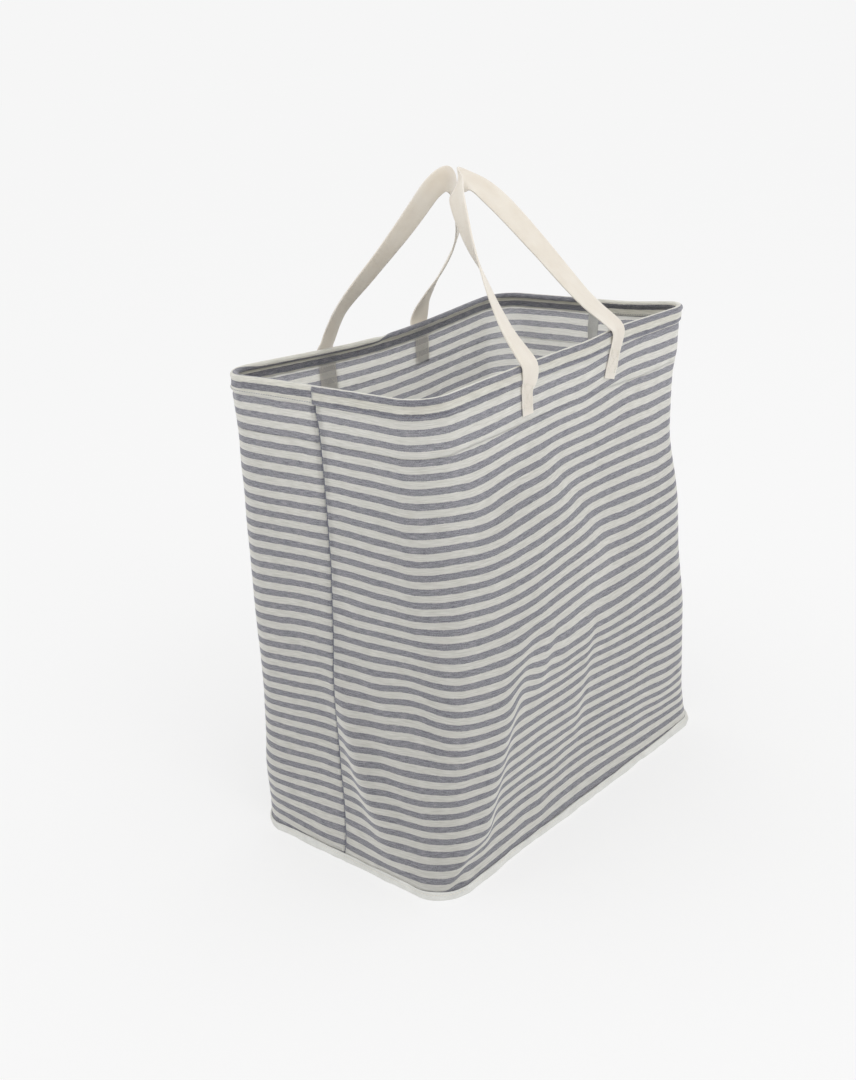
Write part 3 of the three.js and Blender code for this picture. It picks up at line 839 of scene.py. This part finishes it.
# A round line through points, equally spaced.
def roundLine(points, count):
    padded = np.vstack([2 * points[0] - points[1], points, 2 * points[-1] - points[-2]])
    line = []
    for i in range(1, len(padded) - 2):
        a, b, c, d = padded[i - 1:i + 3]
        for t in np.linspace(0, 1, 20, endpoint=False):
            line.append(0.5 * (2 * b + (c - a) * t + (2 * a - 5 * b + 4 * c - d) * t ** 2
                               + (3 * b - 3 * c + d - a) * t ** 3))
    return evenly(np.array(line + [points[-1]]), count)


def evenly(line, count):
    run = np.concatenate([[0], np.cumsum(np.linalg.norm(np.diff(line, axis=0), axis=1))])
    at = np.linspace(0, run[-1], count)
    return np.stack([np.interp(at, run, line[:, k]) for k in range(line.shape[1])], -1)


# The back handle's middle line and the two directions of its webbing, from its left tab
# up over the loop and down its right tab. The front one is the same, turned half round.
def handleRoute(side):
    lean = math.radians(handle["lean"])
    up = np.array([0, -math.sin(lean), math.cos(lean)])
    outward = np.array([0, math.cos(lean), math.sin(lean)])
    upShare, acrossShare = np.array(handle["upShare"]), np.array(handle["acrossShare"])
    sway = handle["sway"] * np.sin(halfTurn * handle["swayTurn"] * upShare)
    legs = [np.stack([k * acrossShare * handle["span"] / 2 + sway, upShare * handle["reach"]], -1)
            for k in (1, -1)]
    plan = roundLine(np.vstack([legs[0], legs[1][::-1][1:]]), handle["routePoints"])
    share = np.linspace(0, 1, len(plan))
    tangent = np.gradient(plan, axis=0)
    tangent /= np.linalg.norm(tangent, axis=1)[:, None]
    tangent[0], tangent[-1] = (0, 1), (0, -1)
    turn = np.radians(np.interp(share, *webbingTurn[side]))
    turn = np.convolve(np.pad(turn, 2, "edge"), np.full(5, 1 / 5), "valid")
    for end, part in enumerate((share <= 0.5, share > 0.5)):
        plan[part, 0] += np.interp(plan[part, 1], legBend["up"], legBend[side][end])
    foot = np.array([-handle["shift"], handle["hingeY"], handle["hingeZ"]])
    middle = foot + plan[:, 1:] * up + plan[:, :1] * np.array([1.0, 0, 0])
    middle[:, 1] += np.interp(plan[:, 1], legBend["up"], legBend[side + "Out"])
    inPlane = tangent[:, 1:] * np.array([1.0, 0, 0]) - tangent[:, :1] * up
    through = outward * np.cos(turn)[:, None] - inPlane * np.sin(turn)[:, None]
    spotOf = (lambda x: -halfRound / 2 - x) if side == "back" else (lambda x: halfRound / 2 - x)
    sag = lambda x: rimSag(np.array(spotOf(x)), np.array(rimTop))
    nearFoot = eased(plan[:, 1], handle["footSettle"], 0)
    middle[:, 2] -= np.array([sag(x) for x in middle[:, 0]]) * nearFoot
    tuckIn, tuckReach = handle["footTuck"]
    middle[:, 1] -= tuckIn * eased(plan[:, 1], tuckReach, 0)
    lines, faces, widths = [], [], []
    canon = np.array([1, 1, 1] if side == "back" else [-1, -1, 1])
    for end in (0, -1):
        heights = np.linspace(handle["hingeZ"] - handle["endLength"], handle["hingeZ"] - handle["endGap"],
                              handle["endRows"])
        shift, width = tabShape[side][end]
        x = middle[end, 0] + np.interp(heights, tabShape["height"], shift)
        spot = spotOf(x)
        off = handle["tabOff"] + handle["hemLift"] * eased(heights, 478, 486)
        onWall = (heights < bag["hemBottom"])[:, None]
        tab = np.where(onWall, onCloth(spot, heights, off), onRim(spot, heights, off))
        tab[:, 2] = heights - sag(x)
        out = np.concatenate([outwardAt(spot, heights), np.zeros((len(heights), 1))], -1)
        rows = [tab * canon, out * canon, np.interp(heights, tabShape["height"], width)[:, None]]
        if end == -1:
            rows = [row[::-1] for row in rows]
        for kept, row in zip((lines, faces, widths), rows):
            kept.append(row)
    loopWidth = [np.interp(middle[:, 2], tabShape["height"], tabShape[side][end][1])
                 for end in (0, -1)]
    loopWidth = np.where(share <= 0.5, *loopWidth)[1:-1, None]
    line = np.vstack([lines[0], middle[1:-1], lines[1]])
    face = np.vstack([faces[0], through[1:-1], faces[1]])
    width = np.vstack([widths[0], loopWidth, widths[1]])
    both = evenly(np.hstack([line, face, width]), int(handle["cutLength"] / handle["step"]))
    for _ in range(handle["rounding"]):
        both[1:-1] = 0.25 * both[:-2] + 0.5 * both[1:-1] + 0.25 * both[2:]
    line, face, width = both[:, :3], both[:, 3:6], both[:, 6]
    along = np.gradient(line, axis=0)
    along /= np.linalg.norm(along, axis=1)[:, None]
    face -= along * (face * along).sum(1)[:, None]
    face /= np.linalg.norm(face, axis=1)[:, None]
    if side == "front":
        line, face = line * [-1, -1, 1], face * [-1, -1, 1]
    return line, face, np.cross(along * canon, face), width


def linePiece(name, lines, outs, widths=None):
    points, edges, normals = [], [], []
    for line, out in zip(lines, outs):
        first = len(points)
        points += (line * mm).tolist()
        normals += out.tolist()
        edges += [(first + i, first + i + 1) for i in range(len(line) - 1)]
    mesh = bpy.data.meshes.new(name)
    mesh.from_pydata(points, edges, [])
    store = mesh.attributes.new("outward", "FLOAT_VECTOR", "POINT")
    store.data.foreach_set("vector", np.array(normals, float).ravel())
    if widths is not None:
        mesh.attributes.new("girth", "FLOAT", "POINT").data.foreach_set("value", widths)
    piece = bpy.data.objects.new(name, mesh)
    bpy.context.scene.collection.objects.link(piece)
    return piece


def newTree(name, sockets):
    tree = bpy.data.node_groups.new(name, "GeometryNodeTree")
    tree.interface.new_socket("Geometry", in_out="INPUT", socket_type="NodeSocketGeometry")
    for label, kind in sockets.items():
        tree.interface.new_socket(label, in_out="INPUT", socket_type="NodeSocket" + kind)
    tree.interface.new_socket("Geometry", in_out="OUTPUT", socket_type="NodeSocketGeometry")
    source = tree.nodes.new("NodeGroupInput")
    return tree, source.outputs


def step(tree, kind, settings=None, inputs=None):
    node = tree.nodes.new(kind)
    for key, value in (settings or {}).items():
        setattr(node, key, value)
    for key, value in (inputs or {}).items():
        if isinstance(value, bpy.types.NodeSocket):
            tree.links.new(value, node.inputs[key])
        else:
            node.inputs[key].default_value = value
    return node


def finishTree(tree, geometry, material):
    real = step(tree, "GeometryNodeRealizeInstances", None, {0: geometry})
    coloured = step(tree, "GeometryNodeSetMaterial", None, {"Geometry": real.outputs[0], "Material": material})
    end = tree.nodes.new("NodeGroupOutput")
    tree.links.new(coloured.outputs[0], end.inputs[0])
    return tree


# Flat webbing swept along a line, its face turned the way the line's points say.
def webbingTree():
    tree, given = newTree("sweptWebbing", {"Width": "Float", "Thickness": "Float", "Finish": "Material"})
    outward = step(tree, "GeometryNodeInputNamedAttribute", {"data_type": "FLOAT_VECTOR"}, {"Name": "outward"})
    curve = step(tree, "GeometryNodeMeshToCurve", None, {"Mesh": given["Geometry"]})
    faced = step(tree, "GeometryNodeSetCurveNormal", {"mode": "FREE"},
                 {"Curve": curve.outputs[0], "Normal": outward.outputs[0]})
    girth = step(tree, "GeometryNodeInputNamedAttribute", {"data_type": "FLOAT"}, {"Name": "girth"})
    length = step(tree, "GeometryNodeSplineParameter")
    kept = step(tree, "GeometryNodeCaptureAttribute", {"domain": "POINT"}, {"Geometry": faced.outputs[0]})
    kept.capture_items.new("FLOAT", "along")
    tree.links.new(length.outputs["Length"], kept.inputs[1])
    shape = step(tree, "GeometryNodeCurvePrimitiveQuadrilateral", None,
                 {"Width": given["Thickness"], "Height": given["Width"]})
    round_ = step(tree, "GeometryNodeFilletCurve", {"mode": "POLY"},
                  {"Curve": shape.outputs[0], "Radius": 0.75 * mm, "Count": 3})
    dense = step(tree, "GeometryNodeSubdivideCurve", None, {"Curve": round_.outputs[0], "Cuts": 3})
    place = step(tree, "GeometryNodeInputPosition")
    parts = step(tree, "ShaderNodeSeparateXYZ", None, {0: place.outputs[0]})
    wide = step(tree, "GeometryNodeCaptureAttribute", {"domain": "POINT"}, {"Geometry": dense.outputs[0]})
    wide.capture_items.new("FLOAT", "across")
    tree.links.new(parts.outputs[1], wide.inputs[1])
    strap = step(tree, "GeometryNodeCurveToMesh", None,
                 {"Curve": kept.outputs[0], "Profile Curve": wide.outputs[0], "Scale": girth.outputs[0],
                  "Fill Caps": True})
    pair = step(tree, "ShaderNodeCombineXYZ", None, {0: wide.outputs[1], 1: kept.outputs[1]})
    stored = step(tree, "GeometryNodeStoreNamedAttribute", {"data_type": "FLOAT2", "domain": "CORNER"},
                  {"Geometry": strap.outputs[0], "Name": "webbing", "Value": pair.outputs[0]})
    smooth = step(tree, "GeometryNodeSetShadeSmooth", None, {"Geometry": stored.outputs[0]})
    return finishTree(tree, smooth.outputs[0], given["Finish"])


# Stitches along lines: one small bead of thread for each, laid on the cloth.
def stitchTree():
    sizes = {"Pitch": "Float", "Length": "Float", "Width": "Float", "Height": "Float",
             "Wander": "Float", "Seed": "Int", "Finish": "Material"}
    tree, given = newTree("stitchRow", sizes)
    curve = step(tree, "GeometryNodeMeshToCurve", None, {"Mesh": given["Geometry"]})
    spaced = step(tree, "GeometryNodeResampleCurve", {"mode": "LENGTH"},
                  {"Curve": curve.outputs[0], "Length": given["Pitch"]})
    tangent = step(tree, "GeometryNodeInputTangent")
    outward = step(tree, "GeometryNodeInputNamedAttribute", {"data_type": "FLOAT_VECTOR"}, {"Name": "outward"})
    bead = step(tree, "GeometryNodeMeshUVSphere", None, {"Segments": 6, "Rings": 5, "Radius": 0.5})
    first = step(tree, "FunctionNodeAlignRotationToVector", {"axis": "X"}, {"Vector": tangent.outputs[0]})
    second = step(tree, "FunctionNodeAlignRotationToVector", {"axis": "Z", "pivot_axis": "X"},
                  {"Rotation": first.outputs[0], "Vector": outward.outputs[0]})
    sway = step(tree, "FunctionNodeRandomValue", {"data_type": "FLOAT"},
                {2: -1.0, 3: 1.0, "Seed": given["Seed"]})
    tilt = step(tree, "ShaderNodeMath", {"operation": "MULTIPLY"}, {0: sway.outputs[1], 1: given["Wander"]})
    turnBy = step(tree, "ShaderNodeCombineXYZ", None, {2: tilt.outputs[0]})
    asTurn = step(tree, "FunctionNodeEulerToRotation", None, {0: turnBy.outputs[0]})
    turned = step(tree, "FunctionNodeRotateRotation", {"rotation_space": "LOCAL"},
                  {0: second.outputs[0], 1: asTurn.outputs[0]})
    size = step(tree, "ShaderNodeCombineXYZ", None, {0: given["Length"], 1: given["Width"], 2: given["Height"]})
    beads = step(tree, "GeometryNodeInstanceOnPoints", None,
                 {"Points": spaced.outputs[0], "Instance": bead.outputs[0],
                  "Rotation": turned.outputs[0], "Scale": size.outputs[0]})
    smooth = step(tree, "GeometryNodeSetShadeSmooth", None, {"Geometry": beads.outputs[0]})
    return finishTree(tree, smooth.outputs[0], given["Finish"])


def runTree(piece, tree, values):
    modifier = piece.modifiers.new(tree.name, "NODES")
    modifier.node_group = tree
    sockets = {item.name: item.identifier for item in tree.interface.items_tree if item.in_out == "INPUT"}
    for label, value in values.items():
        modifier[sockets[label]] = value
    return settle(piece)


sweptWebbing = webbingTree()
stitchRow = stitchTree()
handleLines = {}
for side in ("front", "back"):
    line, face, across, width = handleRoute(side)
    handleLines[side] = (line, face, across, width)
    webbing = linePiece(side + "Handle", [line], [face], width / handle["width"])
    runTree(webbing, sweptWebbing, {"Width": handle["width"] * mm, "Thickness": handle["thickness"] * mm,
                                    "Finish": creamWebbing})
    wear(webbing, creamWebbing, "webbing", side + "_handle", side + "_handle_left_end",
         side + "_handle_right_end")
    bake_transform(webbing)
print("handles made")


thread = {"pitch": 3.3, "length": 2.7, "width": 0.75, "height": 0.5, "wander": 0.12}


def stitches(name, lines, outs, finish, slotName, seed, **sizes):
    values = {**thread, **sizes}
    piece = linePiece(name, lines, outs)
    runTree(piece, stitchRow, {
        "Pitch": values["pitch"] * mm, "Length": values["length"] * mm, "Width": values["width"] * mm,
        "Height": values["height"] * mm, "Wander": values["wander"], "Seed": seed, "Finish": finish})
    return wear(piece, finish, slotName)


def flatOut(s, z):
    out = outwardAt(s, z)
    return np.concatenate([out, np.zeros((*out.shape[:-1], 1))], -1)


def hemStitchLine(fromS, toS, off, z):
    s = np.linspace(fromS + 2, toS - 2, 400)
    return onRim(s, z + 0 * s, off), flatOut(s, rimTop) * np.sign(off)


hemRows = ((0.95, 485.0), (-2.85, 484.8))       # off the wall's outside, and height
hemLines = [hemStitchLine(a, b, off, z) for a, b in ((0, halfRound), (-halfRound, 0))
            for off, z in hemRows]
hemStitches = stitches("hemStitches", *zip(*hemLines), greyThread, "thread", 3, width=0.6, height=0.45)
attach(hemStitches, "rim")


seamThread = {"pitch": 3.0, "length": 3.2, "width": 0.9, "height": 0.6, "wander": 0.05}
seamRow = {"off": -0.9, "foot": 12, "gap": 1.5, "top": 3}


def seamStitches(name, middleS, low, high):
    z = np.linspace(low, high, int(high - low))
    s = np.full(len(z), middleS + 1e-3)
    return stitches(name, [onCloth(s, z, seamRow["off"])], [flatOut(s, z)], greyThread, "thread", 5, **seamThread)


for name, middleS in (("leftSeamStitches", 0.0), ("rightSeamStitches", -halfRound)):
    squashWithRim(seamStitches(name, middleS, seamRow["foot"], lowerPart[1] - seamRow["gap"]))
    upper = seamStitches(name + "Top", middleS, upperPart[0] + seamRow["gap"], upperPart[1] - seamRow["top"])
    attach(upper, "rim")

s = np.linspace(-halfRound + 1, halfRound - 1, 900)
stitchZ = binding["height"] * binding["stitchShare"]
stitchOff = binding["thickness"] + formOut(s, stitchZ) + binding["stitchOff"]
bindingLine = outline(s, stitchZ) + outwardAt(s, stitchZ) * stitchOff[:, None]
bindingLine = np.concatenate([bindingLine, np.full((len(s), 1), stitchZ)], -1)
bindingStitches = stitches("bindingStitches", [bindingLine], [flatOut(s, stitchZ)], creamThread, "thread", 9)
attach(bindingStitches, "root")

boxStitch = {"width": 18, "height": 22, "top": 480.8, "outside": 0.1, "inside": -4.2, "points": 12}


# A box with a cross on a sewn end, of rows of stitches along the webbing's own face.
def boxStitchPiece(name, side, end, node):
    line, face, across, width = handleLines[side]
    half = len(line) // 2
    part = slice(0, half) if end == 0 else slice(half, len(line))
    at, out, over = line[part], face[part], across[part]
    over = over * (width[part] / handle["width"])[:, None]
    order = np.argsort(at[:, 2])[:60]
    order = order[np.argsort(at[order, 2])]
    tabFoot = handle["hingeZ"] - handle["endLength"]
    z0 = boxStitch["top"] - boxStitch["height"] - (tabFoot - at[order[0], 2])
    spot = lambda u, w: (np.array([np.interp(z0 + w, at[order, 2], at[order, k]) for k in range(3)])
                         + np.array([np.interp(z0 + w, at[order, 2], over[order, k]) for k in range(3)]) * u)
    facing = np.array([np.interp(z0 + 10, at[order, 2], out[order, k]) for k in range(3)])
    w, h = boxStitch["width"] / 2, boxStitch["height"]
    runs = [((-w, 0), (w, 0)), ((-w, h), (w, h)), ((-w, 0), (-w, h)), ((w, 0), (w, h)),
            ((-w, 0), (w, h)), ((w, 0), (-w, h))]
    lines, outs = [], []
    for a, b in runs:
        for off, sign in ((handle["thickness"] / 2 + boxStitch["outside"], 1), (boxStitch["inside"], -1)):
            shares = np.linspace(0.04, 0.96, boxStitch["points"])
            lines.append(np.array([spot(a[0] + (b[0] - a[0]) * t, a[1] + (b[1] - a[1]) * t)
                                   + facing * off for t in shares]))
            outs.append(np.tile(facing * sign, (boxStitch["points"], 1)))
    piece = stitches(name, lines, outs, creamThread, "thread", 11, pitch=2.8, length=2.3)
    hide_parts(node)
    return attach(piece, "rim")


for side in ("front", "back"):
    for end, name in ((0, "left"), (1, "right")):
        boxStitchPiece(side + name.capitalize() + "BoxStitch", side, end, f"{side}_{name}_box_stitch")
print("stitches made")


studio = {
    "floorSize": 40.0,
    "floorColour": (0.42, 0.42, 0.42, 1),
    "floorGlow": 1.28,
    "worldColour": (0.922, 0.922, 0.922, 1),
    "keyPower": 14.0,
    "keySize": 2.2,
}

floorMesh = bpy.data.meshes.new("floor")
half = studio["floorSize"]
floorMesh.from_pydata([(-half, -half, 0), (half, -half, 0), (half, half, 0), (-half, half, 0)], [], [(0, 1, 2, 3)])
floor = bpy.data.objects.new("floor", floorMesh)
bpy.context.scene.collection.objects.link(floor)
floorFinish, floorShader = newFinish("paleFloor", 0.95)
floorShader.inputs["Emission Color"].default_value = studio["floorColour"]
floorShader.inputs["Emission Strength"].default_value = studio["floorGlow"]
floorPlace = put(floorFinish, "TexCoord").outputs["Object"]
floorTone = grain(floorFinish, floorPlace, (3, 3, 3), 2)
floorColour = mixed(floorFinish, floorTone, studio["floorColour"], (0.415, 0.415, 0.415, 1))
floorFinish.node_tree.links.new(floorColour, floorShader.inputs["Base Color"])
floorShader.inputs["Specular IOR Level"].default_value = 0.0
floorMesh.materials.append(floorFinish)

world = bpy.data.worlds.new("studio")
world.use_nodes = True
world.node_tree.nodes["Background"].inputs[0].default_value = studio["worldColour"]
world.node_tree.nodes["Background"].inputs[1].default_value = 1.0
bpy.context.scene.world = world
bpy.context.scene.view_settings.view_transform = "Standard"


def softLight(name, place, aim, power, size):
    data = bpy.data.lights.new(name, "AREA")
    data.energy, data.size, data.shape = power, size, "DISK"
    light = bpy.data.objects.new(name, data)
    light.location = place
    light.rotation_euler = (Vector(aim) - Vector(place)).to_track_quat("-Z", "Y").to_euler()
    bpy.context.scene.collection.objects.link(light)


softLight("keyLight", (-0.6, -2.6, 2.4), (0, 0, 0.25), studio["keyPower"], studio["keySize"])

view = {
    "place": (-1000.5, -864.2, 780.2),
    "aim": (61.05, 137.29, 230.24),
    "roll": -4.49,
    "lens": 43.49,         # for the long side of an 856 by 1080 picture on 36 mm
}
place, aim = Vector(view["place"]) * mm, Vector(view["aim"]) * mm
forward = (aim - place).normalized()
right = forward.cross(Vector((0, 0, 1))).normalized()
up = right.cross(forward)
roll = math.radians(view["roll"])
tiltedRight = right * math.cos(roll) + up * math.sin(roll)
tiltedUp = up * math.cos(roll) - right * math.sin(roll)
cameraData = bpy.data.cameras.new("camera")
cameraData.lens, cameraData.sensor_width = view["lens"], 36
cameraData.clip_end = 200
camera = bpy.data.objects.new("camera", cameraData)
turn = Matrix((tiltedRight, tiltedUp, -forward)).transposed()
camera.matrix_world = Matrix.Translation(place) @ turn.to_4x4()
bpy.context.scene.collection.objects.link(camera)
bpy.context.scene.camera = camera
print("floor, light and camera made")

bpy.context.view_layer.update()
